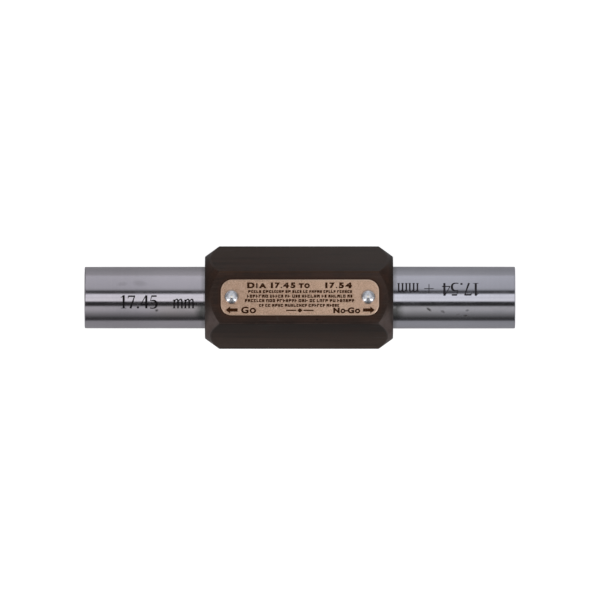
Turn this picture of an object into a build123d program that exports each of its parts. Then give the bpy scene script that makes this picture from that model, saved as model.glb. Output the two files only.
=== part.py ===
from build123d import *
from math import cos, pi, radians, sin, tan
import os

# A limit pin gauge: a hexagonal bar handle with a ground go pin in one end and a slightly
# larger no-go pin in the other. Each pin is straight outside the handle and wedged into it
# by a slow taper. A nameplate lies on one flat, held by two drive screws.
# The gauge rests on the flat opposite the nameplate. The origin is at the middle of that
# bottom flat, +Z is up and +X runs along the bar towards the no-go pin. Sizes are in mm.

# Handle: hexagonal bar with turned cones at both ends
across_flats = 25.4
handle_length = 53.3
corner_round = 0.8  # rounding of the drawn bar's six long edges
end_face_inset = 1.1  # how far the end face's circle lies inside the flats
end_cone_angle = 36.0  # between the turned cone and the bar's axis
end_edge_chamfer = 0.15  # between the end face and the cone
cone_edge_chamfer = 0.12  # between the cone and the bar's flats

# Pins: of one length, straight where they gauge, with a broken edge at both ends
pin_length = 50.8
pin_chamfer = 0.2
go_pin_diameter = 17.45
no_go_pin_diameter = 17.54
go_pin_seat = 16.7  # length of the go pin's taper, which is inside the handle
no_go_pin_seat = 16.2
seat_taper = 1 / 48  # change of diameter with length, slow enough to hold by itself

# Bores for the pins: drilled, then reamed to the pins' taper
bore_lead_in = 0.5
reamer_run_out = 0.5  # left below the pin's end, so that only the tapers meet
pilot_drill_diameter = 12.7
pilot_drill_extra = 1.0  # how far the pilot hole's full diameter passes the reamed depth
drill_point_angle = 118.0

# Nameplate on the top flat
plate_end_margin = 4.25  # from each end of the plate to the handle's, before the plate is shifted
plate_width = 10.2
plate_thickness = 0.6
plate_corner_radius = 3.2
plate_edge_chamfer = 0.15
plate_shift = 0.25  # the plate sits this far towards the no-go end of the handle's middle

# Drive screws: round head, fluted shank, plain pilot nose
screw_inset = 3.1  # from the plate's end to the screw's middle
screw_rise = 0.2  # both screws were drilled this far above the plate's middle line
screw_head_diameter = 4.2
screw_head_height = 1.6
screw_head_rim = 0.15  # straight edge below the dome
screw_shank_diameter = 2.5
screw_flute_depth = 0.2
screw_flute_count = 7
screw_flute_lead = 12.0  # length in which a flute would make one full turn
screw_pilot_length = 0.9
screw_pilot_chamfer = 0.25
screw_hole_gap = 0.01  # on each side, in the handle
plate_hole_gap = 0.1  # on each side, in the nameplate
screw_tip_gap = 0.1  # from the screw's tip to where the hole's drill point starts
screw_hole_web = 0.5  # metal left between the drill point and the larger pin's bore

# Where these sizes put the pieces
axis_height = across_flats / 2
top_flat_height = across_flats
plate_top_height = top_flat_height + plate_thickness
half_handle = handle_length / 2
plate_length = handle_length - 2 * plate_end_margin
screw_spacing = plate_length - 2 * screw_inset
drill_point_ratio = 1 / tan(radians(drill_point_angle / 2)) / 2  # point's length for each mm of drill
screw_hole_diameter = screw_shank_diameter + 2 * screw_hole_gap
largest_bore_radius = max(go_pin_diameter, no_go_pin_diameter) / 2
screw_point_depth = across_flats / 2 - largest_bore_radius - screw_hole_web
screw_hole_depth = screw_point_depth - drill_point_ratio * screw_hole_diameter
screw_shank_length = plate_thickness + screw_hole_depth - screw_tip_gap
screw_places = {
    "go_end_drive_screw": (plate_shift - screw_spacing / 2, screw_rise),
    "no_go_end_drive_screw": (plate_shift + screw_spacing / 2, screw_rise),
}

# Each end's own frame starts at the middle of the handle's end face. Its +Z points outwards and
# its +X down, so what is turned there has its seam underneath.
go_end = Pos(-half_handle, 0, axis_height) * Rot(0, -90, 180)
no_go_end = Pos(half_handle, 0, axis_height) * Rot(0, 90, 0)


def hexagonal_bar():
    """The bar from end to end, on the X axis, with a flat on top and one below."""
    section = RegularPolygon(across_flats / 2, 6, major_radius=False)
    section = fillet(section.vertices(), corner_round)
    return extrude(Plane.YZ * section, handle_length / 2, both=True)


def turned_envelope():
    """What turning the bar's ends leaves: a cylinder wider than the bar, coned at both ends."""
    end_radius = across_flats / 2 - end_face_inset
    full_radius = across_flats  # well outside the bar's corners
    cone_length = (full_radius - end_radius) / tan(radians(end_cone_angle))
    outline = Polyline(
        (-half_handle, 0),
        (-half_handle, end_radius),
        (-half_handle + cone_length, full_radius),
        (half_handle - cone_length, full_radius),
        (half_handle, end_radius),
        (half_handle, 0),
        close=True,
    )
    envelope = revolve(Plane.XY * make_face(outline), Axis.X)
    end_faces = envelope.faces().filter_by(Axis.X)
    return chamfer(end_faces.edges(), end_edge_chamfer)


def turned_bar():
    """The bar with its ends turned, and the scalloped edges of its cones broken."""
    bar = hexagonal_bar() & turned_envelope()
    cones = bar.faces().filter_by(GeomType.CONE)
    curved_edges = cones.edges().filter_by(GeomType.LINE, reverse=True)
    scallops = curved_edges.filter_by(GeomType.CIRCLE, reverse=True)
    return chamfer(scallops, cone_edge_chamfer)


def drilled_hole(diameter, depth):
    """A hole with a drill point. It starts at the origin and runs down, full width to its depth."""
    point_depth = depth + drill_point_ratio * diameter
    outline = Polyline(
        (0, 0),
        (diameter / 2, 0),
        (diameter / 2, -depth),
        (0, -point_depth),
        close=True,
    )
    return revolve(Plane.XZ * make_face(outline), Axis.Z)


def seat_radius(pin_diameter, depth):
    """The radius that a pin's taper has at that depth inside the handle."""
    return (pin_diameter - depth * seat_taper) / 2


def pin_bore(pin_diameter, seat):
    """The hollow for one pin, in its end's frame: a reamed taper with a pilot hole below."""
    reamed_depth = seat + reamer_run_out
    outline = Polyline(
        (0, 0),
        (pin_diameter / 2 + bore_lead_in, 0),
        (seat_radius(pin_diameter, bore_lead_in), -bore_lead_in),
        (seat_radius(pin_diameter, reamed_depth), -reamed_depth),
        (0, -reamed_depth),
        close=True,
    )
    reamed = revolve(Plane.XZ * make_face(outline), Axis.Z)
    return reamed + drilled_hole(pilot_drill_diameter, reamed_depth + pilot_drill_extra)


def handle():
    bar = Pos(0, 0, axis_height) * turned_bar()
    bar -= go_end * pin_bore(go_pin_diameter, go_pin_seat)
    bar -= no_go_end * pin_bore(no_go_pin_diameter, no_go_pin_seat)
    for place in screw_places.values():
        bar -= Pos(*place, top_flat_height) * drilled_hole(screw_hole_diameter, screw_hole_depth)
    return bar


def gauge_pin(diameter, seat):
    """A pin in its end's frame: the straight gauging length above the origin, the taper below."""
    reach = pin_length - seat
    outline = Polyline(
        (0, reach),
        (diameter / 2, reach),
        (diameter / 2, 0),
        (seat_radius(diameter, seat), -seat),
        (0, -seat),
        close=True,
    )
    pin = revolve(Plane.XZ * make_face(outline), Axis.Z)
    rims = pin.edges().filter_by(GeomType.CIRCLE).sort_by(Axis.Z)
    return chamfer([rims[0], rims[-1]], pin_chamfer)


def nameplate():
    plate = extrude(RectangleRounded(plate_length, plate_width, plate_corner_radius), plate_thickness)
    top_edges = plate.edges().group_by(Axis.Z)[-1]
    plate = Pos(plate_shift, 0, top_flat_height) * chamfer(top_edges, plate_edge_chamfer)
    hole = extrude(Circle(screw_shank_diameter / 2 + plate_hole_gap), plate_thickness)
    for place in screw_places.values():
        plate -= Pos(*place, top_flat_height) * hole
    return plate


def screw_head():
    """A spherical dome on a short straight rim, with its flat underside at the origin."""
    radius = screw_head_diameter / 2
    rim_edge = (radius, screw_head_rim)
    crown = (0, screw_head_height)
    profile = (
        Polyline(crown, (0, 0), (radius, 0), rim_edge)
        + TangentArc(crown, rim_edge, tangent=(1, 0))
    )
    return revolve(Plane.XZ * make_face(profile), Axis.Z)


def screw_flutes(length):
    """The driven stretch of the shank: V flutes that wind steeply round it, down from the origin."""
    crest_radius = screw_shank_diameter / 2
    root_radius = crest_radius - screw_flute_depth
    half_pitch = pi / screw_flute_count
    corners = []
    for flute in range(screw_flute_count):
        crest_angle = 2 * flute * half_pitch
        root_angle = crest_angle + half_pitch
        corners.append((crest_radius * cos(crest_angle), crest_radius * sin(crest_angle)))
        corners.append((root_radius * cos(root_angle), root_radius * sin(root_angle)))
    section = make_face(Polyline(*corners, close=True))
    turn = 360 * length / screw_flute_lead
    return Solid.extrude_linear_with_rotation(section.face(), (0, 0, 0), (0, 0, -length), turn)


def drive_screw():
    """A screw with the underside of its head at the origin and its shank pointing down."""
    flute_length = screw_shank_length - screw_pilot_length
    pilot_radius = screw_shank_diameter / 2 - screw_flute_depth
    pilot = extrude(Circle(pilot_radius), -screw_pilot_length)
    pilot = chamfer(pilot.edges().group_by(Axis.Z)[0], screw_pilot_chamfer)
    return screw_head() + screw_flutes(flute_length) + Pos(0, 0, -flute_length) * pilot


pieces = {
    "handle": handle(),
    "go_pin": go_end * gauge_pin(go_pin_diameter, go_pin_seat),
    "no_go_pin": no_go_end * gauge_pin(no_go_pin_diameter, no_go_pin_seat),
    "nameplate": nameplate(),
}
for name, place in screw_places.items():
    pieces[name] = Pos(*place, plate_top_height) * drive_screw()

os.makedirs("parts", exist_ok=True)
for name, piece in pieces.items():
    export_step(piece, f"parts/{name}.step")
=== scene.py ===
import bpy
import bmesh
import math
import random
from mathutils import Matrix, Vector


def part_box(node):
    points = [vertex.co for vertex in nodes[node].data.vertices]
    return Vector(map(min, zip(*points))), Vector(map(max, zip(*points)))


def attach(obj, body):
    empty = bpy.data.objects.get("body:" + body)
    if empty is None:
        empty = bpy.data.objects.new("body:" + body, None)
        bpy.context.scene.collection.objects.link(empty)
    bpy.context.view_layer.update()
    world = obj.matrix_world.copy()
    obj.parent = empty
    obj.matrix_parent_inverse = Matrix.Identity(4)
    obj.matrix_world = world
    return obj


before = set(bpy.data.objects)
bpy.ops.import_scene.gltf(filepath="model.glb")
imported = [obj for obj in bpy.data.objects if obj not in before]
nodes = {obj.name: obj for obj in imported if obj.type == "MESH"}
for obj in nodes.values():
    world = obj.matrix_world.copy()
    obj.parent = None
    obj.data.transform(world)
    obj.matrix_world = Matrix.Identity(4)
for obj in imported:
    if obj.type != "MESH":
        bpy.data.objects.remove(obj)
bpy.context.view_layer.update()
mm = 0.001
print("frame loaded:", ", ".join(sorted(nodes)))

# places that the finishes and the markings are worked out from, all read off the frame
handleLow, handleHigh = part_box("handle")
goPinLow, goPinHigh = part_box("go_pin")
noGoPinLow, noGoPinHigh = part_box("no_go_pin")
plateLow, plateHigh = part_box("nameplate")
goScrewLow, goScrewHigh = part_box("go_end_drive_screw")
noGoScrewLow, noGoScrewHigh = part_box("no_go_end_drive_screw")

halfHandle = (handleHigh.x - handleLow.x) / 2
halfFlats = (handleHigh.z - handleLow.z) / 2
axisHeight = (handleHigh.z + handleLow.z) / 2
goPinRadius = (goPinHigh.y - goPinLow.y) / 2
noGoPinRadius = (noGoPinHigh.y - noGoPinLow.y) / 2
plateCentre = (plateLow + plateHigh) / 2
goScrewCentre = (goScrewLow + goScrewHigh) / 2
noGoScrewCentre = (noGoScrewLow + noGoScrewHigh) / 2


# small helpers for node trees: a socket or a plain number goes into every input

def addNode(tree, kind, **settings):
    made = tree.nodes.new(kind)
    for key, value in settings.items():
        setattr(made, key, value)
    return made


def feed(tree, source, socket):
    if isinstance(source, bpy.types.NodeSocket):
        tree.links.new(source, socket)
    else:
        socket.default_value = source


def calc(tree, operation, first, second=0.0, third=0.0):
    made = addNode(tree, "ShaderNodeMath", operation=operation)
    for source, socket in zip((first, second, third), made.inputs):
        feed(tree, source, socket)
    return made.outputs[0]


def times(tree, first, *others):
    for other in others:
        first = calc(tree, "MULTIPLY", first, other)
    return first


def minus(tree, first, second):
    return calc(tree, "SUBTRACT", first, second)


def absolute(tree, value):
    return calc(tree, "ABSOLUTE", value)


def summed(tree, start, parts):
    # a value, and what a share of each mask adds to it
    for mask, share in parts:
        start = calc(tree, "MULTIPLY_ADD", mask, share, start)
    return start


def fade(tree, value, start, end, low=0.0, high=1.0):
    # a smooth step from start to end. A noise lies mostly between 0.3 and 0.7
    made = addNode(tree, "ShaderNodeMapRange", interpolation_type="SMOOTHSTEP", clamp=True)
    for source, name in ((value, "Value"), (start, "From Min"), (end, "From Max"),
                         (low, "To Min"), (high, "To Max")):
        feed(tree, source, made.inputs[name])
    return made.outputs["Result"]


def plateau(tree, value, edges):
    # one between the two inner edges, and nothing past the outer ones
    return times(tree, fade(tree, value, edges[0], edges[1]), fade(tree, value, edges[3], edges[2]))


def blendColour(tree, mask, first, second):
    made = addNode(tree, "ShaderNodeMix", data_type="RGBA")
    feed(tree, mask, made.inputs["Factor"])
    feed(tree, first, made.inputs[6])
    feed(tree, second, made.inputs[7])
    return made.outputs[2]


def layered(tree, colour, layers):
    # colours laid over one another: each layer is a mask, its strength and its colour
    for mask, strength, tone in layers:
        colour = blendColour(tree, times(tree, mask, strength), colour, tone)
    return colour


def blendValue(tree, mask, first, second):
    made = addNode(tree, "ShaderNodeMix", data_type="FLOAT")
    feed(tree, mask, made.inputs[0])
    feed(tree, first, made.inputs[2])
    feed(tree, second, made.inputs[3])
    return made.outputs[0]


def noise(tree, vector, scale, detail=2.0, roughness=0.5, distortion=0.0):
    made = addNode(tree, "ShaderNodeTexNoise")
    for source, name in ((vector, "Vector"), (scale, "Scale"), (detail, "Detail"),
                         (roughness, "Roughness"), (distortion, "Distortion")):
        feed(tree, source, made.inputs[name])
    return made.outputs["Fac"]


def objectPoint(tree):
    return addNode(tree, "ShaderNodeTexCoord").outputs["Object"]


def splitPoint(tree, vector):
    made = addNode(tree, "ShaderNodeSeparateXYZ")
    feed(tree, vector, made.inputs[0])
    return made.outputs[0], made.outputs[1], made.outputs[2]


def makePoint(tree, x, y, z):
    made = addNode(tree, "ShaderNodeCombineXYZ")
    for source, socket in zip((x, y, z), made.inputs):
        feed(tree, source, socket)
    return made.outputs[0]


def vectorTimes(tree, first, second):
    made = addNode(tree, "ShaderNodeVectorMath", operation="MULTIPLY")
    feed(tree, first, made.inputs[0])
    feed(tree, second, made.inputs[1])
    return made.outputs["Vector"]


def lengthOf(tree, x, y):
    # the distance that two sides of a right angle span
    made = addNode(tree, "ShaderNodeVectorMath", operation="LENGTH")
    feed(tree, makePoint(tree, x, y, 0.0), made.inputs[0])
    return made.outputs["Value"]


def bump(tree, height, distance):
    made = addNode(tree, "ShaderNodeBump")
    feed(tree, 1.0, made.inputs["Strength"])
    feed(tree, distance, made.inputs["Distance"])
    feed(tree, height, made.inputs["Height"])
    return made.outputs["Normal"]


def newMaterial(name, **sockets):
    material = bpy.data.materials.new(name)
    material.use_nodes = True
    tree = material.node_tree
    shader = tree.nodes["Principled BSDF"]
    for key, value in sockets.items():
        shader.inputs[key].default_value = value
    return material, tree, shader


def newGroup(name, inputs, outputs):
    tree = bpy.data.node_groups.new(name, "ShaderNodeTree")
    for label, kind, value in inputs:
        socket = tree.interface.new_socket(label, in_out="INPUT", socket_type=kind)
        if value is not None:
            socket.default_value = value
    for label, kind in outputs:
        tree.interface.new_socket(label, in_out="OUTPUT", socket_type=kind)
    return tree, tree.nodes.new("NodeGroupInput").outputs, tree.nodes.new("NodeGroupOutput").inputs


def useGroup(tree, group, **values):
    made = addNode(tree, "ShaderNodeGroup", node_tree=group)
    for key, value in values.items():
        feed(tree, value, made.inputs[key])
    return made.outputs


# effects that several finishes share

def mottleGroup():
    # soft blotches with a finer grain inside them, as on oxidised or handled metal
    tree, given, out = newGroup(
        "mottle",
        [("Point", "NodeSocketVector", None), ("Blotch", "NodeSocketFloat", 300.0),
         ("Grain", "NodeSocketFloat", 3000.0)],
        [("Blotches", "NodeSocketFloat"), ("Grains", "NodeSocketFloat")])
    feed(tree, noise(tree, given["Point"], given["Blotch"], 4.0, 0.6, 0.4), out["Blotches"])
    feed(tree, noise(tree, given["Point"], given["Grain"], 3.0, 0.7), out["Grains"])
    return tree


def scratchGroup():
    # hair scratches: the thin ridges of a noise drawn out along X, at two angles
    tree, given, out = newGroup(
        "scratches",
        [("Point", "NodeSocketVector", None), ("Scale", "NodeSocketFloat", 400.0),
         ("Width", "NodeSocketFloat", 0.012), ("Amount", "NodeSocketFloat", 0.5)],
        [("Mask", "NodeSocketFloat")])
    masks = []
    for turn, shift in ((0.35, 0.0), (-0.9, 3.1)):
        along = addNode(tree, "ShaderNodeMapping")
        for source, name in ((given["Point"], "Vector"), ((shift, 0, 0), "Location"),
                             ((0.2, 0.1, turn), "Rotation"), ((0.12, 1.0, 1.0), "Scale")):
            feed(tree, source, along.inputs[name])
        lines = noise(tree, along.outputs["Vector"], given["Scale"], 1.0, 0.4, 0.6)
        hair = fade(tree, absolute(tree, minus(tree, lines, 0.5)), given["Width"], 0.0)
        gate = noise(tree, given["Point"], times(tree, given["Scale"], 0.35), 1.0, 0.5)
        here = fade(tree, gate, minus(tree, 1.0, given["Amount"]), minus(tree, 1.1, given["Amount"]))
        masks.append(times(tree, hair, here))
    feed(tree, calc(tree, "MAXIMUM", masks[0], masks[1]), out["Mask"])
    return tree


def smudgeGroup():
    # finger marks and wiped oil
    tree, given, out = newGroup(
        "smudges",
        [("Point", "NodeSocketVector", None), ("Scale", "NodeSocketFloat", 120.0)],
        [("Mask", "NodeSocketFloat")])
    cloud = noise(tree, given["Point"], given["Scale"], 5.0, 0.55, 1.2)
    feed(tree, fade(tree, cloud, 0.42, 0.68), out["Mask"])
    return tree


def toolLineGroup():
    # fine parallel lines left by a tool, counted along one distance, that hardly change across it
    tree, given, out = newGroup(
        "toolLines",
        [("Along", "NodeSocketFloat", 0.0), ("Across", "NodeSocketVector", None),
         ("Fine", "NodeSocketFloat", 9000.0), ("Wide", "NodeSocketFloat", 1500.0)],
        [("Lines", "NodeSocketFloat"), ("Bands", "NodeSocketFloat")])
    x, y, z = splitPoint(tree, vectorTimes(tree, given["Across"], (0.004, 0.004, 0.004)))
    point = makePoint(tree, calc(tree, "ADD", given["Along"], x), y, z)
    feed(tree, noise(tree, point, given["Fine"], 2.0, 0.6), out["Lines"])
    feed(tree, noise(tree, point, given["Wide"], 3.0, 0.55), out["Bands"])
    return tree


mottle = mottleGroup()
scratches = scratchGroup()
smudges = smudgeGroup()
toolLines = toolLineGroup()


def stainMask(tree, x, y, stains, ragged=0.0):
    # soft ovals seen from above. Each stain has its middle and its half length and half width, in mm,
    # then its lean in degrees and its strength
    inner, outer = 0.35, 1.45  # where it starts and stops fading, as a share of its half sizes
    stained = 0.0
    for (stainX, stainY), (halfLength, halfWidth), lean, strength in stains:
        offX, offY = minus(tree, x, stainX * mm), minus(tree, y, stainY * mm)
        ahead, aside = math.cos(math.radians(lean)), math.sin(math.radians(lean))
        along = calc(tree, "MULTIPLY_ADD", offX, ahead, times(tree, offY, aside))
        across = calc(tree, "MULTIPLY_ADD", offY, ahead, times(tree, offX, -aside))
        away = lengthOf(tree, calc(tree, "DIVIDE", along, halfLength * mm),
                        calc(tree, "DIVIDE", across, halfWidth * mm))
        spot = fade(tree, calc(tree, "ADD", away, ragged), outer, inner, 0.0, strength)
        stained = calc(tree, "MAXIMUM", stained, spot)
    return stained


# handle: hexagonal bar, blackened, with a warm brown cast

handleFinish = {
    "brown": (0.0395, 0.0157, 0.0075, 1),
    "black": (0.0218, 0.0091, 0.0040, 1),
    "grey": (0.0498, 0.0318, 0.0226, 1),
    "drawn": (0.0470, 0.0290, 0.0200, 1),  # the tops of the lines that the die drew
    "grain": (0.0580, 0.0380, 0.0280, 1),
    "pale": (0.0900, 0.0800, 0.0740, 1),
    # painted light: the tone of the flats where they are paler towards the no-go end's back
    "litBrown": (0.0850, 0.0560, 0.0460, 1),
    # painted light on the front of the cones
    "paintedFrontLight": (0.1130, 0.0825, 0.0740, 1),
    # shade: a dark tone for the grain, the bands and the speck, and the colour of the painted shade
    "shade": (0.0090, 0.0055, 0.0040, 1),
    "halo": (0.0490, 0.0160, 0.0045, 1),
    # the slim line round the nameplate: soil and painted contact shade
    "dirtAndContactShade": (0.0330, 0.0145, 0.0067, 1),
    "edge": (0.0950, 0.0500, 0.0280, 1),
    "roughness": 0.40,
    "endRadius": halfFlats - 1.1 * mm,
    "coneSlope": math.tan(math.radians(36)),
    "scallopWidth": 0.34 * mm,
    "scallopWearAndHighlight": (0.08, 0.75),  # how strong the pale scallop line is at the sides, and in front: worn edges and a painted highlight
    "backScallopLevel": 0.35,
    "dirtAndShadeLine": 0.32 * mm,
    "haloReach": 1.5 * mm,
    "specks": [((5.1, -6.18), (0.26, 0.22), 0, 0.85)],
    # where a mask starts and where it is whole: across the bar, off its axis or along it
    "cone": (0.02 * mm, 0.08 * mm),  # below the flats
    "topFlat": (halfFlats - 0.4 * mm, halfFlats - 0.2 * mm),
    "front": (-5.5 * mm, -8.5 * mm),
    "back": (6.5 * mm, 9.0 * mm),
    "farBack": (7.4 * mm, 9.0 * mm),
    "topEdges": (6.0 * mm, 8.0 * mm),
    "topEdgeWidth": (halfFlats - 0.34 * mm, halfFlats - 0.05 * mm),
    "longEdgeWidth": (halfFlats - 0.544 * mm, halfFlats),
    "brownRise": (0.0, halfFlats * 1.1),
    "frontEdge": (0.0, -4.0 * mm),
    "backEdge": (0.0, 4.0 * mm),
    "frontCorner": (0.95 * mm, 0.55 * mm),
    "shadeHeight": (axisHeight + 2.0 * mm, handleHigh.z - 0.2 * mm),
    "shadeFront": (-6.5 * mm, -7.4 * mm),
    "endShade": (1.8 * mm, 0.4 * mm),  # how far it reaches, and how far in front
    "paleEnd": (-22 * mm, 24 * mm),
    # the same with the mask's lowest and highest level
    "frontLightFrom": (-1.0 * mm, -6.4 * mm, 0.0, 1.0),
    "frontLightTo": (-13.0 * mm, -9.0 * mm, 0.7, 1.0),
    "paleFlats": (-5.0 * mm, 8.0 * mm, 0.0, 0.28),
    "paleCones": (8.0 * mm, 11.5 * mm, 0.0, 0.32),
}


def hexDistances(tree, y, up):
    # how far a point is from the axis: square to the flats it is nearest to, to the next ones, and in all
    half = times(tree, up, 0.5)
    lean = times(tree, y, math.sin(math.radians(60)))
    first = absolute(tree, up)
    second = absolute(tree, calc(tree, "ADD", half, lean))
    third = absolute(tree, minus(tree, half, lean))
    largest = calc(tree, "MAXIMUM", calc(tree, "MAXIMUM", first, second), third)
    smallest = calc(tree, "MINIMUM", calc(tree, "MINIMUM", first, second), third)
    total = calc(tree, "ADD", calc(tree, "ADD", first, second), third)
    middle = minus(tree, minus(tree, total, largest), smallest)
    return largest, middle, lengthOf(tree, y, up)


def plateDistance(tree, x, y):
    # signed distance from the nameplate's outline, a rectangle with round corners
    corner = plateFinish["corner"]
    halfLength = (plateHigh.x - plateLow.x) / 2 - corner
    halfWidth = (plateHigh.y - plateLow.y) / 2 - corner
    outX = minus(tree, absolute(tree, minus(tree, x, plateCentre.x)), halfLength)
    outY = minus(tree, absolute(tree, y), halfWidth)
    outside = lengthOf(tree, calc(tree, "MAXIMUM", outX, 0.0), calc(tree, "MAXIMUM", outY, 0.0))
    inside = calc(tree, "MINIMUM", calc(tree, "MAXIMUM", outX, outY), 0.0)
    return minus(tree, calc(tree, "ADD", outside, inside), corner)


def blackenedSteel():
    look = handleFinish
    material, tree, shader = newMaterial("blackened_steel_finish", Metallic=0.0, IOR=1.30)
    point = objectPoint(tree)
    x, y, z = splitPoint(tree, point)
    up = minus(tree, z, axisHeight)
    offAxis = absolute(tree, up)
    above = calc(tree, "GREATER_THAN", z, axisHeight)
    toEnd = minus(tree, halfHandle, absolute(tree, x))

    # the cones are where a point lies below the nearest flat
    largest, middle, radius = hexDistances(tree, y, up)
    coneRadius = calc(tree, "MULTIPLY_ADD", toEnd, look["coneSlope"], look["endRadius"])
    underCone = minus(tree, coneRadius, radius)
    underFlat = minus(tree, halfFlats, largest)
    turned = fade(tree, underFlat, *look["cone"])
    flat = minus(tree, 1.0, turned)
    onTop = fade(tree, offAxis, *look["topFlat"])
    onFront = fade(tree, y, *look["front"])
    onBack = fade(tree, y, *look["back"])

    # lines drawn along the flats and turned round the cones, under blotches and grain
    spots = useGroup(tree, mottle, Point=point, Blotch=260.0, Grain=2600.0)
    hairs = useGroup(tree, scratches, Point=point, Scale=220.0, Width=0.010, Amount=0.45)["Mask"]
    endless = makePoint(tree, 0.0, times(tree, x, 8.0), 0.0)
    drawn = useGroup(tree, toolLines, Along=y, Across=endless, Fine=5200.0, Wide=900.0)
    drawnSide = useGroup(tree, toolLines, Along=z, Across=endless, Fine=5200.0, Wide=900.0)
    cut = useGroup(tree, toolLines, Along=toEnd, Across=point, Fine=9000.0, Wide=2400.0)
    streaks = blendValue(tree, onTop, drawnSide["Lines"], drawn["Lines"])
    lines = blendValue(tree, turned, streaks, cut["Lines"])
    bands = blendValue(tree, onTop, drawnSide["Bands"], drawn["Bands"])

    # painted light over the front of the cones, in patches; and pale along the scallops, more so to the
    # front and back: worn edges, with a painted highlight where a rounded edge would catch the light
    scallop = fade(tree, calc(tree, "ADD", underCone, underFlat), look["scallopWidth"], 0.0)
    scallopLevel = summed(tree, blendValue(tree, onFront, *look["scallopWearAndHighlight"]), [(onBack, look["backScallopLevel"])])
    scallopWearAndHighlight = times(tree, scallop, scallopLevel, fade(tree, spots["Grains"], 0.34, 0.66, 0.15, 1.0))
    paintedFrontLight = times(tree, turned, fade(tree, y, *look["frontLightFrom"]), fade(tree, y, *look["frontLightTo"]),
                   fade(tree, spots["Blotches"], 0.36, 0.60, 0.55, 0.85))

    # the bar's long edges: a little darker along all of them, a painted shade on the front one before the
    # plate, a brown line on the back one behind it, and a painted shade on the rounded front corner
    longEdge = fade(tree, middle, *look["longEdgeWidth"])
    topEdge = times(tree, fade(tree, middle, *look["topEdgeWidth"]), fade(tree, offAxis, *look["topEdges"]))
    frontEdge = times(tree, topEdge, fade(tree, y, *look["frontEdge"]))
    backEdge = times(tree, topEdge, fade(tree, y, *look["backEdge"]))
    frontCorner = times(tree, fade(tree, offAxis, *look["frontCorner"]), onFront)

    # soil and painted contact shade: a slim dark line round the nameplate; then a brown stain that fades out
    # from it, and a speck
    fromPlate = plateDistance(tree, x, y)
    dirtAndContactShade = times(tree, fade(tree, fromPlate, look["dirtAndShadeLine"], 0.0), above)
    halo = times(tree, fade(tree, fromPlate, look["haloReach"], 0.0), above)
    speck = times(tree, stainMask(tree, x, y, look["specks"]), above)

    # painted shade below the front edge and at the ends; painted light, paler towards the no-go end's back
    shaded = times(tree, fade(tree, z, *look["shadeHeight"]), fade(tree, y, *look["shadeFront"]), flat)
    endShade = fade(tree, toEnd, blendValue(tree, onFront, *look["endShade"]), 0.0)
    paleBack = blendValue(tree, turned, fade(tree, y, *look["paleFlats"]), fade(tree, y, *look["paleCones"]))
    paler = times(tree, fade(tree, x, *look["paleEnd"]), paleBack)

    # brown on the top and bottom flats, greyer down the sides
    brown = blendColour(tree, fade(tree, spots["Blotches"], 0.34, 0.66), look["black"], look["brown"])
    colour = blendColour(tree, fade(tree, offAxis, *look["brownRise"]), look["grey"], brown)
    colour = layered(tree, colour, [
        (fade(tree, lines, 0.48, 0.70), 0.30, look["drawn"]),
        (fade(tree, spots["Grains"], 0.52, 0.72), 0.40, look["grain"]),
        (fade(tree, spots["Grains"], 0.48, 0.30), 0.45, look["shade"]),
        (times(tree, fade(tree, bands, 0.50, 0.68), flat), 0.30, look["grain"]),
        (times(tree, fade(tree, bands, 0.50, 0.32), flat), 0.35, look["shade"]),
        (shaded, 0.70, look["shade"]),
        (paler, 1.0, blendColour(tree, onTop, look["pale"], look["litBrown"])),
        (fade(tree, y, *look["farBack"]), 0.06, look["pale"]),
        (paintedFrontLight, 1.0, look["paintedFrontLight"]),
        (halo, 0.55, look["halo"]),
        (scallopWearAndHighlight, 1.0, look["pale"]),
        (hairs, 0.25, look["pale"]),
        (endShade, 0.60, look["shade"]),
        (longEdge, 0.08, look["shade"]),
        (frontEdge, 0.40, look["shade"]),
        (backEdge, 0.60, look["edge"]),
        (frontCorner, 0.35, look["shade"]),
        (speck, 1.0, look["shade"]),
        (dirtAndContactShade, 1.0, look["dirtAndContactShade"]),
    ])
    feed(tree, colour, shader.inputs["Base Color"])
    # a little metal takes the sheen off the soil and painted contact shade round the plate, the speck and
    # the front edge's painted shade
    dulled = calc(tree, "MAXIMUM", times(tree, frontEdge, 0.3), times(tree, speck, 0.7))
    feed(tree, calc(tree, "MAXIMUM", dirtAndContactShade, dulled), shader.inputs["Metallic"])
    # what the blotches and the grain add evens out round the plain roughness
    rough = summed(tree, look["roughness"] - 0.14,
                   [(spots["Blotches"], 0.16), (scallopWearAndHighlight, -0.10), (spots["Grains"], 0.12)])
    feed(tree, rough, shader.inputs["Roughness"])
    height = times(tree, calc(tree, "ADD", lines, spots["Grains"]), 0.5)
    feed(tree, bump(tree, height, 0.008 * mm), shader.inputs["Normal"])
    return material


# pins: ground and lapped, near mirror bright, with a few old stains

pinFinish = {
    "stain": (0.042, 0.034, 0.030, 1),
    "haze": (0.400, 0.420, 0.470, 1),
    # grime, and the colour of the painted reflection of the handle beside it
    "grimeAndShade": (0.200, 0.205, 0.200, 1),
    "roughness": 0.10,
    "banding": 0.97,  # how bright the dull grinding bands are, against the steel between them
    "nearHandleGain": 1.075,  # how much brighter the steel is near the handle: a painted reflection
    "nearHandleBlend": 8 * mm,
    "filmTint": (1.0, 0.985, 0.94),  # old oil on the front
    "filmReach": (18 * mm, 9 * mm),  # from the handle's end face
    "front": (-6.9 * mm, -5.4 * mm, -2.5 * mm, -1.0 * mm),  # the front band of the pin, where the grime and its painted reflection are strongest
    "crest": (1.9 * mm, 1.0 * mm),  # along the middle of the pin, to both sides
    "grimeAndShadeLevel": (0.40, 0.95),  # all round, and on the front
    "grimeAndShadeReach": 3.6 * mm,  # on the front, from the handle's end face
    "crestReach": 0.65 * mm,
    "backReach": 1.44 * mm,
}

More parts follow.
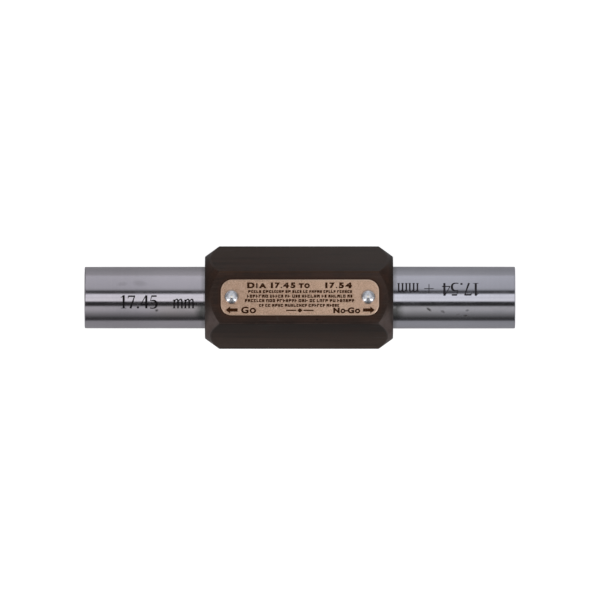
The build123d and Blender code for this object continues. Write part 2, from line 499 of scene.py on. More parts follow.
goPinFinish = {
    "steel": (0.582, 0.557, 0.602, 1),
    "nearHandleReach": 17 * mm,
    "film": 0.0,  # how much of the oil there is at the pin's end
    "stains": [
        ((-60.6, 5.60), (0.22, 3.20), 0, 0.46),  # a painted shade on the end's chamfer, a dark line at the very end, in two lengths
        ((-60.6, 0.80), (0.22, 2.40), 0, 0.58),
        ((-40.3, -3.63), (0.42, 0.34), 20, 0.80),
        ((-50.0, 3.85), (1.40, 0.60), 6, 0.14),
        ((-45.1, 4.05), (1.90, 0.80), -6, 0.16),
        ((-41.0, -2.60), (1.60, 0.35), 0, 0.10),
    ],
}
noGoPinFinish = {
    "steel": (0.572, 0.575, 0.635, 1),
    "nearHandleReach": 23 * mm,
    "film": 0.55,
    "stains": [
        ((36.8, -3.37), (0.72, 0.32), -38, 0.80),
        ((40.7, -3.97), (0.65, 0.36), -25, 0.45),
        ((47.6, -3.63), (0.45, 0.28), 10, 0.45),
        ((47.2, -5.13), (0.75, 0.28), 0, 0.85),
        ((45.0, -4.80), (0.60, 0.25), 12, 0.35),
    ],
}


def tinted(colour, tint):
    return tuple(level * share for level, share in zip(colour, tint)) + (1,)


def groundSteel(name, own, pinRadius):
    look = pinFinish
    material, tree, shader = newMaterial(name, Metallic=1.0)
    point = objectPoint(tree)
    x, y, z = splitPoint(tree, point)
    fromFace = minus(tree, absolute(tree, x), halfHandle)
    front = plateau(tree, y, look["front"])
    crest = fade(tree, absolute(tree, y), *look["crest"])
    grind = useGroup(tree, toolLines, Along=x, Across=point, Fine=14000.0, Wide=1300.0)
    wiped = useGroup(tree, smudges, Point=point, Scale=140.0)["Mask"]
    spots = useGroup(tree, mottle, Point=point, Blotch=700.0, Grain=5000.0)
    patches = useGroup(tree, mottle, Point=point, Blotch=420.0, Grain=3000.0)["Blotches"]
    hairs = useGroup(tree, scratches, Point=point, Scale=260.0, Width=0.006, Amount=0.40)["Mask"]

    # stains, and at the go pin's end a painted shade: ragged, on the upper half of the pin's round side, up
    # to its end face
    ragged = calc(tree, "MULTIPLY_ADD", spots["Grains"], 1.4, -0.7)
    radius = lengthOf(tree, y, minus(tree, z, axisHeight))
    onRound = fade(tree, radius, pinRadius - 0.5 * mm, pinRadius - 0.22 * mm)
    stained = times(tree, stainMask(tree, x, y, own["stains"], ragged), onRound,
                    calc(tree, "GREATER_THAN", z, axisHeight))

    # grime by the handle, most of it in front, and with it a painted reflection of the dark handle
    grimeAndShadeReach = blendValue(tree, crest, look["backReach"], look["crestReach"])
    grimeAndShadeReach = blendValue(tree, front, grimeAndShadeReach, look["grimeAndShadeReach"])
    grimeAndHandleReflection = times(tree, fade(tree, calc(tree, "DIVIDE", fromFace, grimeAndShadeReach), 1.0, 0.25),
                    fade(tree, patches, 0.30, 0.60, 0.55, 1.0), blendValue(tree, front, *look["grimeAndShadeLevel"]))

    # painted reflection: brighter near the handle; with a film of oil on the front
    paintedReflectionNearHandle = fade(tree, fromFace, own["nearHandleReach"] + look["nearHandleBlend"],
                    own["nearHandleReach"] - look["nearHandleBlend"])
    film = fade(tree, fromFace, *look["filmReach"], own["film"], 1.0)
    dull = tinted(own["steel"], [look["banding"]] * 3)
    bright = tinted(own["steel"], [look["nearHandleGain"]] * 3)
    colour = blendColour(tree, fade(tree, grind["Bands"], 0.35, 0.70), dull, own["steel"])
    colour = layered(tree, colour, [
        (paintedReflectionNearHandle, blendValue(tree, crest, 1.0, 0.5), bright),
        (film, front, tinted(own["steel"], look["filmTint"])),
        (wiped, 0.06, look["haze"]),
        (fade(tree, spots["Grains"], 0.60, 0.78), 0.10, look["haze"]),
        (grimeAndHandleReflection, 1.0, look["grimeAndShade"]),
        (stained, 1.0, look["stain"]),
    ])
    feed(tree, colour, shader.inputs["Base Color"])
    feed(tree, calc(tree, "MULTIPLY_ADD", stained, -0.4, 1.0), shader.inputs["Metallic"])
    rough = summed(tree, look["roughness"], [(wiped, 0.04), (grind["Lines"], 0.03), (hairs, 0.06),
                                             (grimeAndHandleReflection, 0.08), (stained, 0.3)])
    feed(tree, rough, shader.inputs["Roughness"])
    feed(tree, bump(tree, grind["Lines"], 0.0004 * mm), shader.inputs["Normal"])
    return material


# nameplate: etched bronze, a little brighter along its rim, a raised border with a painted highlight on it,
# and with painted light towards the no-go end

plateFinish = {
    "corner": 3.2 * mm,
    "field": (0.695, 0.485, 0.350, 1),
    "dull": (0.395, 0.255, 0.175, 1),
    "rim": (0.800, 0.600, 0.460, 1),
    "roughness": 0.42,
    "rimWidth": 0.32 * mm,
    "rimBlend": 0.08 * mm,
    # painted light, from the go end to the no-go end, which is a little brighter: on the field, and on the
    # rim as a painted highlight
    "brighterToNoGo": (-0.02, 0.05),
    "rimAndHighlightAlong": (0.35, 0.90),
}


def etchedBronze():
    look = plateFinish
    material, tree, shader = newMaterial("etched_bronze_finish", Metallic=1.0)
    point = objectPoint(tree)
    x, y, z = splitPoint(tree, point)
    spots = useGroup(tree, mottle, Point=point, Blotch=900.0, Grain=4200.0)
    wiped = useGroup(tree, smudges, Point=point, Scale=260.0)["Mask"]
    hairs = useGroup(tree, scratches, Point=point, Scale=420.0, Width=0.010, Amount=0.45)["Mask"]
    outline = calc(tree, "ADD", plateDistance(tree, x, y), look["rimWidth"])
    rim = fade(tree, outline, -look["rimBlend"], look["rimBlend"])

    brighterToNoGo = fade(tree, x, plateLow.x, plateHigh.x, *look["brighterToNoGo"])
    cleanAndLit = fade(tree, calc(tree, "ADD", spots["Grains"], brighterToNoGo), 0.36, 0.62)
    colour = blendColour(tree, cleanAndLit, look["dull"], look["field"])
    colour = layered(tree, colour, [
        (fade(tree, spots["Blotches"], 0.45, 0.75), 0.35, look["rim"]),
        # the rim: a raised border, and a painted highlight on it that grows towards the no-go end
        (rim, fade(tree, x, plateLow.x, plateHigh.x, *look["rimAndHighlightAlong"]), look["rim"]),
        (hairs, 0.30, look["rim"]),
    ])
    feed(tree, colour, shader.inputs["Base Color"])
    rough = summed(tree, look["roughness"] - 0.07, [(spots["Grains"], 0.14), (wiped, -0.05), (rim, -0.08)])
    feed(tree, rough, shader.inputs["Roughness"])
    # the etched field lies a little below its rim
    height = calc(tree, "MULTIPLY_ADD", spots["Grains"], 0.25, rim)
    feed(tree, bump(tree, height, 0.03 * mm), shader.inputs["Normal"])
    return material


# drive screws: bright plated, with a little tarnish in blotches, a painted reflection darkening each head to
# both sides and a painted highlight in its middle

screwFinish = {
    "bright": (0.86, 0.89, 0.94, 1),
    # worn: the colour of a painted highlight, a cream spot in the middle of each head
    "worn": (0.98, 0.93, 0.80, 1),
    "dark": (0.25, 0.24, 0.24, 1),
    "sideReflection": (0.45 * mm, 1.0 * mm),  # painted reflection: darker towards the two sides of each head
    "sideReflectionHeight": (0.95 * mm, 0.55 * mm),
    "sideReflectionShift": 0.15 * mm,
    "roughness": 0.14,
    "crownRoughness": 0.40,
    "crown": (0.90 * mm, 0.40 * mm),
    "crownShift": 0.40 * mm,  # the dulled crown lies a little behind the head's middle
    "glintSpot": (0.50 * mm, 0.12 * mm),
    "glintShift": 0.13 * mm,
    "glintRoughness": 0.28,
}


def brightPlating():
    look = screwFinish
    material, tree, shader = newMaterial("bright_plating_finish", Metallic=1.0)
    point = objectPoint(tree)
    x, y, z = splitPoint(tree, point)
    spots = useGroup(tree, mottle, Point=point, Blotch=1500.0, Grain=7000.0)
    hairs = useGroup(tree, scratches, Point=point, Scale=900.0, Width=0.014, Amount=0.55)["Mask"]
    # distances from the middle of the nearer head
    offX = calc(tree, "MINIMUM", absolute(tree, minus(tree, x, goScrewCentre.x)),
                absolute(tree, minus(tree, x, noGoScrewCentre.x)))
    offY = minus(tree, y, goScrewCentre.y)
    crown = fade(tree, lengthOf(tree, offX, minus(tree, offY, look["crownShift"])), *look["crown"])
    # worn: a painted highlight, a cream spot just behind the middle of each head
    worn = fade(tree, lengthOf(tree, offX, minus(tree, offY, look["glintShift"])), *look["glintSpot"])
    level = absolute(tree, minus(tree, offY, look["sideReflectionShift"]))
    paintedSideReflection = times(tree, fade(tree, offX, *look["sideReflection"]), fade(tree, level, *look["sideReflectionHeight"]))

    colour = layered(tree, look["bright"], [
        (fade(tree, spots["Blotches"], 0.45, 0.75), 0.25, look["dark"]),
        (paintedSideReflection, 0.36, look["dark"]),
        (worn, 1.0, look["worn"]),
        (hairs, 0.25, look["dark"]),
    ])
    feed(tree, colour, shader.inputs["Base Color"])
    rough = calc(tree, "MULTIPLY_ADD", spots["Blotches"], 0.10, look["roughness"] - 0.04)
    rough = blendValue(tree, crown, rough, look["crownRoughness"])
    rough = blendValue(tree, worn, rough, look["glintRoughness"])
    feed(tree, calc(tree, "MULTIPLY_ADD", hairs, 0.12, rough), shader.inputs["Roughness"])
    feed(tree, bump(tree, spots["Blotches"], 0.006 * mm), shader.inputs["Normal"])
    return material


# ink: the fill of the marks, worn thin in places

def inkFill(name, dark, thin, roughness):
    material, tree, shader = newMaterial(name, Metallic=0.0, IOR=1.16)
    spots = useGroup(tree, mottle, Point=objectPoint(tree), Blotch=2200.0, Grain=9000.0)
    worn = fade(tree, spots["Blotches"], 0.50, 0.78)
    feed(tree, layered(tree, dark, [(worn, 0.6, thin)]), shader.inputs["Base Color"])
    feed(tree, calc(tree, "MULTIPLY_ADD", spots["Grains"], 0.2, roughness), shader.inputs["Roughness"])
    feed(tree, bump(tree, spots["Grains"], 0.004 * mm), shader.inputs["Normal"])
    return material


finishes = {
    "handle": blackenedSteel(),
    "go_pin": groundSteel("ground_steel_go", goPinFinish, goPinRadius),
    "no_go_pin": groundSteel("ground_steel_no_go", noGoPinFinish, noGoPinRadius),
    "nameplate": etchedBronze(),
    "go_end_drive_screw": brightPlating(),
}
finishes["no_go_end_drive_screw"] = finishes["go_end_drive_screw"]
for name, finish in finishes.items():
    for slot in nodes[name].material_slots:
        slot.material = finish
print("finishes on the CAD pieces")


# marks: flat shapes made into thin solids

def newObject(name, data):
    thing = bpy.data.objects.new(name, data)
    bpy.context.scene.collection.objects.link(thing)
    return thing


def meshOf(bm, name):
    mesh = bpy.data.meshes.new(name)
    bm.to_mesh(mesh)
    bm.free()
    return mesh


def shownMesh(thing):
    graph = bpy.context.evaluated_depsgraph_get()
    mesh = bpy.data.meshes.new_from_object(thing.evaluated_get(graph))
    bpy.data.objects.remove(thing)
    return mesh


fontLetters = {"height": 0.80, "stroke": 0.083}  # Blender's own font at size 1


def flatText(words, boldness):
    # boldness is the share of the letters' height that a stroke takes, never less than the font's own
    curve = bpy.data.curves.new("lettering", "FONT")
    curve.body = words
    curve.size = 1.0
    curve.resolution_u = 24
    curve.offset = (fontLetters["height"] * boldness - fontLetters["stroke"]) / (1 - boldness) / 2
    return shownMesh(newObject("lettering", curve))


def fitTo(mesh, left, right, bottom, top):
    # a flat mesh, scaled and moved into a box
    xs = [vert.co.x for vert in mesh.vertices]
    ys = [vert.co.y for vert in mesh.vertices]
    wide, tall = max(xs) - min(xs), max(ys) - min(ys)
    toCorner = Matrix.Translation((-min(xs), -min(ys), 0))
    stretch = Matrix.Diagonal(((right - left) / wide, (top - bottom) / tall, 1, 1))
    mesh.transform(Matrix.Translation((left, bottom, 0)) @ stretch @ toCorner)
    return mesh


def addSolid(bm, mesh, thickness):
    # joins a flat mesh to bm as a closed solid that rises from the surface
    part = bmesh.new()
    part.from_mesh(mesh)
    bmesh.ops.remove_doubles(part, verts=part.verts, dist=0.001 * mm)
    for face in part.faces:
        if face.normal.z < 0:
            face.normal_flip()
    risen = bmesh.ops.extrude_face_region(part, geom=part.faces[:], use_keep_orig=True)
    verts = [item for item in risen["geom"] if isinstance(item, bmesh.types.BMVert)]
    bmesh.ops.translate(part, verts=verts, vec=(0, 0, thickness))
    bmesh.ops.recalc_face_normals(part, faces=part.faces[:])
    joined = meshOf(part, "part")
    bm.from_mesh(joined)
    bpy.data.meshes.remove(joined)


def newPiece(name, bm, material):
    piece = newObject(name, meshOf(bm, name))
    piece.data.materials.append(material)
    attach(piece, "root")


# pin markings: the size and its unit in a book face, drawn as pen strokes
# a stroke is a list of (x, y, pen width); digits stand one unit high on the baseline

penStrokes = {
    "1": (0.50, [
        ("line", [(0.10, 0.82, 0.04), (0.27, 0.94, 0.08)]),
        ("line", [(0.28, 0.99, 0.13), (0.28, 0.0, 0.13)]),
        ("line", [(0.11, 0.018, 0.036), (0.45, 0.018, 0.036)]),
    ]),
    "4": (0.56, [
        ("line", [(0.36, 0.98, 0.05), (0.04, 0.29, 0.05)]),
        ("line", [(0.02, 0.275, 0.075), (0.53, 0.275, 0.075)]),
        ("line", [(0.385, 0.99, 0.13), (0.385, 0.0, 0.13)]),
    ]),
    "5": (0.54, [
        ("line", [(0.16, 0.93, 0.11), (0.47, 0.93, 0.11)]),
        ("line", [(0.165, 0.97, 0.045), (0.085, 0.57, 0.045)]),
        ("round", [(0.085, 0.57, 0.04), (0.27, 0.65, 0.10), (0.47, 0.47, 0.15), (0.45, 0.10, 0.12),
                   (0.24, -0.02, 0.07), (0.05, 0.03, 0.07)]),
    ]),
    "7": (0.54, [
        ("line", [(0.045, 0.76, 0.04), (0.085, 0.95, 0.06)]),
        ("line", [(0.06, 0.92, 0.11), (0.49, 0.92, 0.11)]),
        ("line", [(0.465, 0.95, 0.06), (0.20, 0.0, 0.12)]),
    ]),
    ".": (0.26, [
        ("line", [(0.06, 0.07, 0.14), (0.19, 0.07, 0.14)]),
    ]),
    "+": (0.60, [
        ("line", [(0.02, 0.45, 0.055), (0.60, 0.45, 0.055)]),
        ("line", [(0.31, 0.09, 0.048), (0.31, 0.81, 0.048)]),
    ]),
    "m": (0.69, [
        ("line", [(0.01, 0.60, 0.04), (0.10, 0.66, 0.04)]),
        ("line", [(0.105, 0.67, 0.095), (0.105, 0.0, 0.095)]),
        ("round", [(0.12, 0.50, 0.04), (0.21, 0.71, 0.08), (0.35, 0.67, 0.10), (0.34, 0.40, 0.095)]),
        ("line", [(0.34, 0.46, 0.095), (0.34, 0.0, 0.095)]),
        ("round", [(0.36, 0.50, 0.04), (0.45, 0.71, 0.08), (0.59, 0.67, 0.10), (0.58, 0.40, 0.095)]),
        ("line", [(0.58, 0.46, 0.095), (0.58, 0.0, 0.095)]),
        ("line", [(0.02, 0.018, 0.036), (0.19, 0.018, 0.036)]),
        ("line", [(0.26, 0.018, 0.036), (0.42, 0.018, 0.036)]),
        ("line", [(0.50, 0.018, 0.036), (0.67, 0.018, 0.036)]),
    ]),
}

pinMarks = {
    "height": 3.80 * mm,
    "widen": 1.20,
    "pen": 1.03,  # how much wider than drawn each stroke is
    "thickness": 0.015 * mm,
    "lift": 0.004 * mm,
    "straight": 0.5 * mm,  # longer edges than this are cut up, so that they bend round the pin
    "cuts": 7,
}
# each mark: the line that its characters stand on, measured round the pin, and where they start
goMark = {"baseline": -3.10 * mm, "groups": (("17.45", -50.9 * mm), ("mm", -35.8 * mm))}
noGoMark = {"baseline": -4.28 * mm, "groups": (("17.54", 51.3 * mm), ("+", 38.2 * mm), ("mm", 34.0 * mm))}


def penLine():
    # the flat nib that the strokes are drawn with
    nib = bpy.data.curves.new("nib", "CURVE")
    edge = nib.splines.new("POLY")
    edge.points.add(1)
    edge.points[0].co = (-0.5, 0, 0, 1)
    edge.points[1].co = (0.5, 0, 0, 1)
    return newObject("nib", nib)


def penMesh(characters, nib):
    curve = bpy.data.curves.new("strokes", "CURVE")
    curve.dimensions = "3D"
    curve.twist_mode = "Z_UP"
    curve.bevel_mode = "OBJECT"
    curve.bevel_object = nib
    start = 0.0
    for character in characters:
        advance, strokes = penStrokes[character]
        for kind, points in strokes:
            spline = curve.splines.new("NURBS")
            spline.points.add(len(points) - 1)
            for place, (px, py, width) in zip(spline.points, points):
                place.co = (start + px, py, 0, 1)
                place.radius = width * pinMarks["pen"]
            spline.order_u = 2 if kind == "line" else 3
            spline.use_endpoint_u = True
            spline.resolution_u = 8
        start += advance
    return shownMesh(newObject("strokes", curve))


def markPin(name, mark, pinRadius, upsideDown, material):
    marks = pinMarks
    nib = penLine()
    bm = bmesh.new()
    for characters, start in mark["groups"]:
        mesh = penMesh(characters, nib)
        mesh.transform(Matrix.Diagonal((marks["height"] * marks["widen"], marks["height"], 1, 1)))
        mesh.transform(Matrix.Translation((0, mark["baseline"], 0)))
        if upsideDown:
            mesh.transform(Matrix.Rotation(math.pi, 4, "Z"))
        mesh.transform(Matrix.Translation((start, 0, 0)))
        addSolid(bm, mesh, marks["thickness"])
    longEdges = [edge for edge in bm.edges if edge.calc_length() > marks["straight"]]
    bmesh.ops.subdivide_edges(bm, edges=longEdges, cuts=marks["cuts"])
    for vert in bm.verts:
        turn = vert.co.y / pinRadius
        out = pinRadius + marks["lift"] + vert.co.z
        vert.co.y = out * math.sin(turn)
        vert.co.z = axisHeight + out * math.cos(turn)
    bpy.data.objects.remove(nib)
    newPiece(name, bm, material)


blackInk = inkFill("etched_black", (0.009, 0.008, 0.009, 1), (0.045, 0.040, 0.042, 1), 0.45)
greyInk = inkFill("etched_grey", (0.033, 0.030, 0.035, 1), (0.085, 0.079, 0.087, 1), 0.45)
markPin("go_pin_marking", goMark, goPinRadius, False, blackInk)
markPin("no_go_pin_marking", noGoMark, noGoPinRadius, True, greyInk)
print("pin markings drawn")


# nameplate lettering: which end is which, the two sizes, and rows of fine print too small to read

plateMarks = {
    "thickness": 0.02 * mm,
    "pen": 0.36 * mm,
    "leastBoldness": 0.12,
    # each character and the box that it fills, in mm: left, right, bottom, top
    "characters": [
        ("D", -14.65, -12.55, 2.65, 4.28),
        ("I", -12.12, -11.72, 2.65, 4.06),
        ("A", -11.35, -9.20, 2.65, 4.06),
        ("1", -8.00, -7.35, 2.65, 4.28),
        ("7", -6.85, -5.40, 2.65, 4.28),
        (".", -5.15, -4.73, 2.65, 3.05),
        ("4", -4.50, -2.85, 2.65, 4.28),
        ("5", -2.40, -1.00, 2.65, 4.28),
        ("T", -0.10, 1.35, 2.65, 4.06),
        ("O", 1.50, 3.05, 2.65, 4.06),
        ("1", 7.40, 8.05, 2.65, 4.28),
        ("7", 8.60, 10.10, 2.65, 4.28),
        (".", 10.40, 10.82, 2.65, 3.05),
        ("5", 11.25, 12.70, 2.65, 4.28),
        ("4", 13.10, 15.00, 2.65, 4.28),
        ("G", -16.35, -14.25, -4.48, -2.55),
        ("O", -13.95, -12.15, -4.46, -2.88),
        ("N", 9.70, 11.50, -4.42, -2.85),
        ("O", 11.72, 13.10, -4.46, -3.10),
        ("-", 13.10, 13.75, -3.92, -3.56),
        ("G", 13.75, 15.60, -4.48, -2.75),
        ("O", 15.80, 17.30, -4.46, -3.10),
    ],
    # each row of fine print, in mm: left, right, the height of its middle, its letters' height
    "finePrint": [
        (-14.4, 15.0, 1.70, 0.80),
        (-14.7, 15.2, 0.41, 0.88),
        (-15.3, 16.5, -0.86, 0.90),
        (-11.3, 12.0, -2.20, 0.82),
    ],
    "stem": 0.29 * mm,
    "wordLength": (2, 8),
    # shares of the letters' height
    "letterWidth": (0.62, 0.95),
    "letterGap": 0.17,
    "wordGap": 0.38,
    "rowEnd": 0.5,  # no word starts nearer to a row's right end
    "twoStems": 0.45,  # the share of signs with a second stem
    # how high up the sign its cross strokes are
    "crossStrokes": ((0.0,), (1.0,), (0.5,), (0.0, 1.0), (0.0, 1.0), (0.5, 1.0), (0.5, 1.0)),
    "seed": 11,
}

# arrows: tip and tail, the height of their middle, head's length and width, shaft's width
plateArrows = {
    "goEnd": (-20.75 * mm, -17.35 * mm),
    "noGoEnd": (21.45 * mm, 18.10 * mm),
    "middle": -3.50 * mm,
    "head": (1.30 * mm, 2.00 * mm),
    "shaft": 0.92 * mm,
}

# rule with a diamond in its middle, between the two ends' names
plateRule = {
    "middle": (0.25 * mm, -3.60 * mm),
    "halfLength": 3.9 * mm,
    "gap": 1.0 * mm,
    "width": 0.36 * mm,
    "diamond": (0.75 * mm, 0.65 * mm),
}


def flatBar(left, right, bottom, top):
    bm = bmesh.new()
    bmesh.ops.create_grid(bm, x_segments=1, y_segments=1, size=0.5)
    return fitTo(meshOf(bm, "bar"), left, right, bottom, top)


def flatFigure(corners, turn):
    # a regular figure of three or four corners, to be fitted to its box
    bm = bmesh.new()
    bmesh.ops.create_circle(bm, segments=corners, radius=1, cap_ends=True)
    mesh = meshOf(bm, "figure")
    mesh.transform(Matrix.Rotation(turn, 4, "Z"))
    return mesh


def flatArrow(tip, tail):
    side = 1 if tip > tail else -1
    length, width = plateArrows["head"]
    middle, halfShaft = plateArrows["middle"], plateArrows["shaft"] / 2
    back = tip - side * length
    head = fitTo(flatFigure(3, -math.pi / 2 * side), min(tip, back), max(tip, back),
                 middle - width / 2, middle + width / 2)
    shaft = flatBar(min(back, tail), max(back, tail), middle - halfShaft, middle + halfShaft)
    return [head, shaft]


def ruleAndDiamond():
    x, y = plateRule["middle"]
    inner, outer, half = plateRule["gap"], plateRule["halfLength"], plateRule["width"] / 2
    wide, tall = plateRule["diamond"]
    return [
        flatBar(x - outer, x - inner, y - half, y + half),
        flatBar(x + inner, x + outer, y - half, y + half),
        fitTo(flatFigure(4, 0.0), x - wide, x + wide, y - tall, y + tall),
    ]


def tinyLetter(left, right, bottom, top, dice):
    # one sign of fine print: a stem at the left, cross strokes, and sometimes a second stem
    stem = plateMarks["stem"]
    bars = [flatBar(left, left + stem, bottom, top)]
    twoStems = dice.random() < plateMarks["twoStems"]
    end = right - stem if twoStems else right
    for height in dice.choice(plateMarks["crossStrokes"]):
        low = bottom + (top - bottom - stem) * height
        bars.append(flatBar(left + stem, end, low, low + stem))
    if twoStems:
        bars.append(flatBar(end, right, bottom, top))
    return bars


def finePrintRow(left, right, middle, height, dice):
    marks = plateMarks
    flats = []
    x = left
    while x < right - height * marks["rowEnd"]:
        for letter in range(dice.randint(*marks["wordLength"])):
            wide = height * dice.uniform(*marks["letterWidth"])
            if x + wide > right:
                break
            flats += tinyLetter(x, x + wide, middle - height / 2, middle + height / 2, dice)
            x += wide + height * marks["letterGap"]
        x += height * marks["wordGap"]
    return flats


def letterPlate(material):
    marks = plateMarks
    dice = random.Random(marks["seed"])
    flats = ruleAndDiamond()
    for character, *box in marks["characters"]:
        left, right, bottom, top = (side * mm for side in box)
        boldness = marks["leastBoldness"]
        if character not in ".-":
            boldness = max(boldness, marks["pen"] / (top - bottom))
        flats.append(fitTo(flatText(character, boldness), left, right, bottom, top))
    flats += flatArrow(*plateArrows["goEnd"]) + flatArrow(*plateArrows["noGoEnd"])
    for row in marks["finePrint"]:
        flats += finePrintRow(*(side * mm for side in row), dice)
    bm = bmesh.new()
    for mesh in flats:
        addSolid(bm, mesh, marks["thickness"])
    bmesh.ops.translate(bm, verts=bm.verts[:], vec=(0, 0, plateHigh.z))
    newPiece("nameplate_lettering", bm, material)


brownInk = inkFill("etched_brown", (0.044, 0.013, 0.002, 1), (0.100, 0.043, 0.016, 1), 0.50)
letterPlate(brownInk)
print("nameplate lettered")


# floor: plain and pale, white to the eye, with the gauge's soft shadow

stageLook = {
    "halfSide": 3.0,
    "drop": 0.1 * mm,
    # painted shade: how pale the floor is along Y, in mm: it darkens towards the front, away from the lamps,
    # and a little near the gauge
    "paint": [(-300, 0.06), (-190, 0.18), (-120, 0.44), (-50, 0.515), (30, 0.50), (60, 0.56), (150, 0.61),
              (600, 0.70)],
    "halfway": 60.0,  # the distance, in mm, at which the ramp has spent half of each side
    "whiteToEye": 0.86,
    "whiteInGloss": 0.04,
}


def levelRamp(tree, share, stops):
    # a colour ramp of plain greys, from (place, level) pairs
    ramp = addNode(tree, "ShaderNodeValToRGB")
    made = ramp.color_ramp.elements
    made.remove(made[1])
    for count, (place, level) in enumerate(stops):
        stop = made[0] if count == 0 else made.new(place)
        stop.position = place
        stop.color = (level, level, level, 1)
    feed(tree, share, ramp.inputs["Fac"])
    return ramp.outputs["Color"]


def paleFloor():
    look = stageLook
    bm = bmesh.new()
    bmesh.ops.create_grid(bm, x_segments=1, y_segments=1, size=look["halfSide"])
    bmesh.ops.translate(bm, verts=bm.verts[:], vec=(0, 0, -look["drop"]))
    floor = newObject("floor", meshOf(bm, "floor"))
    material = bpy.data.materials.new("pale_floor")
    material.use_nodes = True
    tree = material.node_tree
    tree.nodes.remove(tree.nodes["Principled BSDF"])
    paint = addNode(tree, "ShaderNodeBsdfDiffuse")
    x, y, z = splitPoint(tree, objectPoint(tree))
    turn = calc(tree, "ARCTAN2", y, look["halfway"] * mm)
    share = calc(tree, "MULTIPLY_ADD", turn, 1 / math.pi, 0.5)
    stops = [(math.atan(away / look["halfway"]) / math.pi + 0.5, level) for away, level in look["paint"]]
    feed(tree, levelRamp(tree, share, stops), paint.inputs["Color"])
    light = addNode(tree, "ShaderNodeLightPath")
    seen = times(tree, light.outputs["Is Camera Ray"], look["whiteToEye"])
    mirrored = times(tree, calc(tree, "ADD", light.outputs["Is Glossy Ray"],
                                light.outputs["Is Transmission Ray"]), look["whiteInGloss"])
    glow = addNode(tree, "ShaderNodeEmission")
    feed(tree, calc(tree, "ADD", seen, mirrored), glow.inputs["Strength"])
    both = addNode(tree, "ShaderNodeAddShader")
    tree.links.new(paint.outputs[0], both.inputs[0])
    tree.links.new(glow.outputs[0], both.inputs[1])
    # from below the floor is open, so that the underside can be looked at
    sides = addNode(tree, "ShaderNodeMixShader")
    tree.links.new(addNode(tree, "ShaderNodeNewGeometry").outputs["Backfacing"], sides.inputs[0])
    tree.links.new(both.outputs[0], sides.inputs[1])
    tree.links.new(addNode(tree, "ShaderNodeBsdfTransparent").outputs[0], sides.inputs[2])
    tree.links.new(sides.outputs[0], tree.nodes["Material Output"].inputs["Surface"])
    floor.data.materials.append(material)


paleFloor()


# studio: panels of light and dark screens in an arc from front to back, and plain sides with a tall
# lamp and a panel each

def turns(*degrees):
    return tuple(math.radians(angle) for angle in degrees)


studio = {
    # degrees from straight up towards the back of the room, and the light's level there
    "arc": [
        (-180, 0.40), (-97, 0.05),
        (-82, 0.06), (-76, 0.13), (-69, 0.21), (-61, 0.31), (-53, 0.43),  # dark room in front
        (-46, 0.52), (-35, 0.55),  # front panel
        (-31, 0.12), (-28, 0.03), (-16.1, 0.03),  # camera stand
        (-12.1, 1.05), (-6, 0.99), (0, 0.88), (5, 0.99), (10.9, 1.03),  # top lamp
        (15.8, 0.08), (24.0, 0.06),  # gap behind the top lamp
        (30.5, 0.46), (37, 0.54), (60, 0.58), (84, 0.62), (97, 0.53), (180, 0.40),  # back panel
    ],
    "tintFront": (1.0, 0.985, 1.0, 1),
    "tintBack": (0.98, 0.98, 1.02, 1),
    "tintBlend": (-0.4, 0.4),
    # the sides: where they start off the arc, and their level from low to high and towards the back
    "sideStart": (0.14, 0.45),
    "sideLevel": (-0.1, 0.9, 0.20, 0.78),
    "sideBack": (0.0, 0.6, 1.0, 0.95),
    # round from the front to either side, and up: the outer and the inner edges of what stands there
    "panelTurn": turns(36, 48, 78, 96),
    "panelRise": (-0.30, -0.10, 0.30, 0.50),
    "panelLevel": 0.58,
    "lampTurn": math.radians(47),
    "lampEdge": turns(7.8 * 1.3, 7.8 * 0.7),  # to both sides of its middle
    "lampRise": (-0.04, 0.08, 0.51, 0.71),
    "lampLevel": 2.0,
    "standTurn": turns(-67, -61, -30, -27),
    "standGap": (0.06, 0.13),  # the front panel shows through a slit in the camera's stand
    "standLevel": 0.08,
}


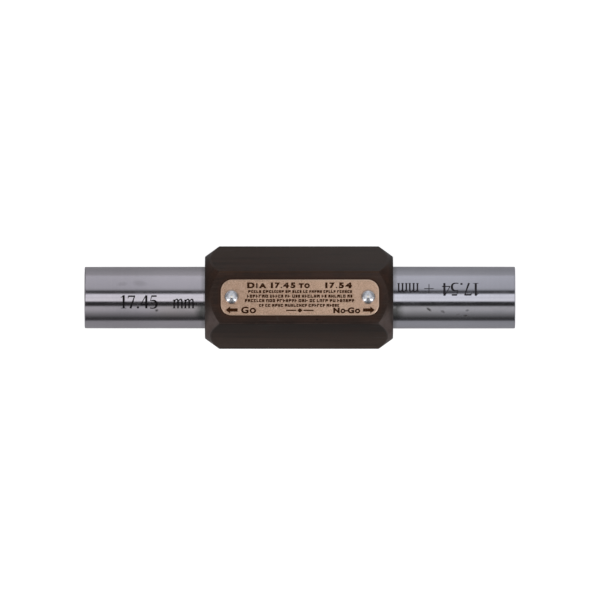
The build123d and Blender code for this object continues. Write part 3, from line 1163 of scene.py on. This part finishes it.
def lightStudio():
    world = bpy.data.worlds.new("studio")
    bpy.context.scene.world = world
    world.use_nodes = True
    tree = world.node_tree
    x, y, z = splitPoint(tree, addNode(tree, "ShaderNodeTexCoord").outputs["Generated"])
    sideways = absolute(tree, x)
    aroundX = calc(tree, "ARCTAN2", y, z)
    share = calc(tree, "MULTIPLY_ADD", aroundX, 1 / (2 * math.pi), 0.5)
    arc = levelRamp(tree, share, [(degrees / 360 + 0.5, level) for degrees, level in studio["arc"]])
    besideGap = fade(tree, sideways, *studio["standGap"])
    stand = times(tree, plateau(tree, aroundX, studio["standTurn"]), besideGap)
    arc = blendValue(tree, stand, arc, studio["standLevel"])

    plain = times(tree, fade(tree, z, *studio["sideLevel"]), fade(tree, y, *studio["sideBack"]))
    level = blendValue(tree, fade(tree, sideways, *studio["sideStart"]), arc, plain)
    turn = absolute(tree, calc(tree, "ARCTAN2", x, times(tree, y, -1.0)))
    fromLamp = absolute(tree, minus(tree, turn, studio["lampTurn"]))
    lamp = times(tree, fade(tree, fromLamp, *studio["lampEdge"]), plateau(tree, z, studio["lampRise"]))
    panel = times(tree, plateau(tree, turn, studio["panelTurn"]), plateau(tree, z, studio["panelRise"]))
    level = summed(tree, level, [(lamp, studio["lampLevel"]), (panel, studio["panelLevel"])])

    tint = blendColour(tree, fade(tree, y, *studio["tintBlend"]), studio["tintFront"], studio["tintBack"])
    lit = vectorTimes(tree, tint, makePoint(tree, level, level, level))
    seen = addNode(tree, "ShaderNodeLightPath").outputs["Is Camera Ray"]
    feed(tree, blendColour(tree, seen, lit, (1, 1, 1, 1)), tree.nodes["Background"].inputs["Color"])


lightStudio()
print("floor and studio light ready")


# camera: straight down on the nameplate, far off with a long lens

photoView = {
    "distance": 5.0,
    "frameWidth": 170.1 * mm,
    "sensor": 36.0,
    "aim": (0.28 * mm, -0.68 * mm),
}


def photoCamera():
    lens = bpy.data.cameras.new("camera")
    lens.sensor_width = photoView["sensor"]
    lens.lens = photoView["sensor"] * photoView["distance"] / photoView["frameWidth"]
    camera = newObject("camera", lens)
    camera.location = (*photoView["aim"], axisHeight + photoView["distance"])
    bpy.context.scene.camera = camera


photoCamera()
bpy.context.scene.view_settings.view_transform = "Standard"
